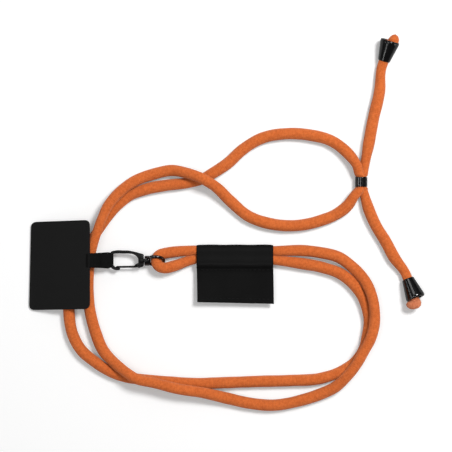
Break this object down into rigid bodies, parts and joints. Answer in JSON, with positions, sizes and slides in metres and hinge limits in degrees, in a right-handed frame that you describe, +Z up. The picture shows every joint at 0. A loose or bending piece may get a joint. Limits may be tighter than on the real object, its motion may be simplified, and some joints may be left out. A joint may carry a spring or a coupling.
{
  "type": "crossbody phone lanyard",
  "caption": "Adjustable round-rope lanyard with a swivel snap hook, slim phone pad, leatherette sleeve, slider ring and bell stoppers on knotted ends.",
  "frame": {"origin": "centre of the hard pieces' outline on the floor that the lanyard lies on", "axes": "+X from the pad and hook towards the slider ring, +Y towards the upper rope end, +Z up from the floor"},
  "size_m": [0.2716, 0.2578, 0.0147],
  "materials": {
    "rope": "soft round orange polyester knit",
    "gloss_black": "glossy black plastic",
    "leatherette": "satin fine-grained black leatherette",
    "thread": "black sewing thread",
    "pad_skin": "matte fine-grained black skin",
    "pad_core": "stiff nylon sheet",
    "strap": "thin black coated webbing",
    "hook_black": "satin black painted zinc",
    "steel": "plain spring steel"
  },
  "bodies": {
    "rope": {"rope": "rope", "end_knot_a": "rope", "end_knot_b": "rope"},
    "hook": {"hook_frame": "hook_black", "gate_pin": "steel", "gate_spring": "steel"},
    "gate": {"hook_gate": "hook_black"},
    "eye": {"swivel_eye": "gloss_black", "swivel_stud": "hook_black", "swivel_washer": "steel"},
    "pad": {"pad_top_skin": "pad_skin", "pad_core": "pad_core", "pad_bottom_skin": "pad_skin", "hook_strap": "strap"},
    "sleeve": {"sleeve_wrap": "leatherette", "sleeve_tunnel_stitches": "thread", "sleeve_hem_stitches": "thread"},
    "slider": {"slider_ring": "gloss_black"},
    "bell_upper": {"bell_a": "gloss_black"},
    "bell_lower": {"bell_b": "gloss_black"}
  },
  "joints": [
    {"name": "hook_lift", "type": "hinge", "parent": "rope", "child": "hook", "pos_m": [-0.0488, -0.0598, 0.0057], "axis": [0, 0.848, -0.5299], "range_deg": [0, 35]},
    {"name": "swivel", "type": "hinge", "parent": "hook", "child": "eye", "pos_m": [-0.0572, -0.0598, 0.0057], "axis": [-1, 0, 0], "range_deg": [-25, 4]},
    {"name": "gate", "type": "hinge", "parent": "hook", "child": "gate", "pos_m": [-0.0607, -0.0635, 0.0057], "axis": [0, 0, -1], "range_deg": [0, 28], "stiffness_Nm_per_rad": 0.002, "springref_deg": -11.46},
    {"name": "pad_swing", "type": "hinge", "parent": "hook", "child": "pad", "pos_m": [-0.0799, -0.0598, 0.0057], "axis": [0, 1, 0], "range_deg": [0, 88]},
    {"name": "sleeve_slide", "type": "slide", "parent": "rope", "child": "sleeve", "axis": [1, 0, 0], "range_m": [-0.005, 0.005]},
    {"name": "slider_slide", "type": "slide", "parent": "rope", "child": "slider", "axis": [0, 1, 0], "range_m": [-0.0012, 0.0012]},
    {"name": "bell_upper_slide", "type": "slide", "parent": "rope", "child": "bell_upper", "axis": [-0.287, -0.9389, -0.19], "range_m": [0, 0.003]},
    {"name": "bell_lower_slide", "type": "slide", "parent": "rope", "child": "bell_lower", "axis": [-0.3614, 0.9128, -0.19], "range_m": [0, 0.003]}
  ]
}
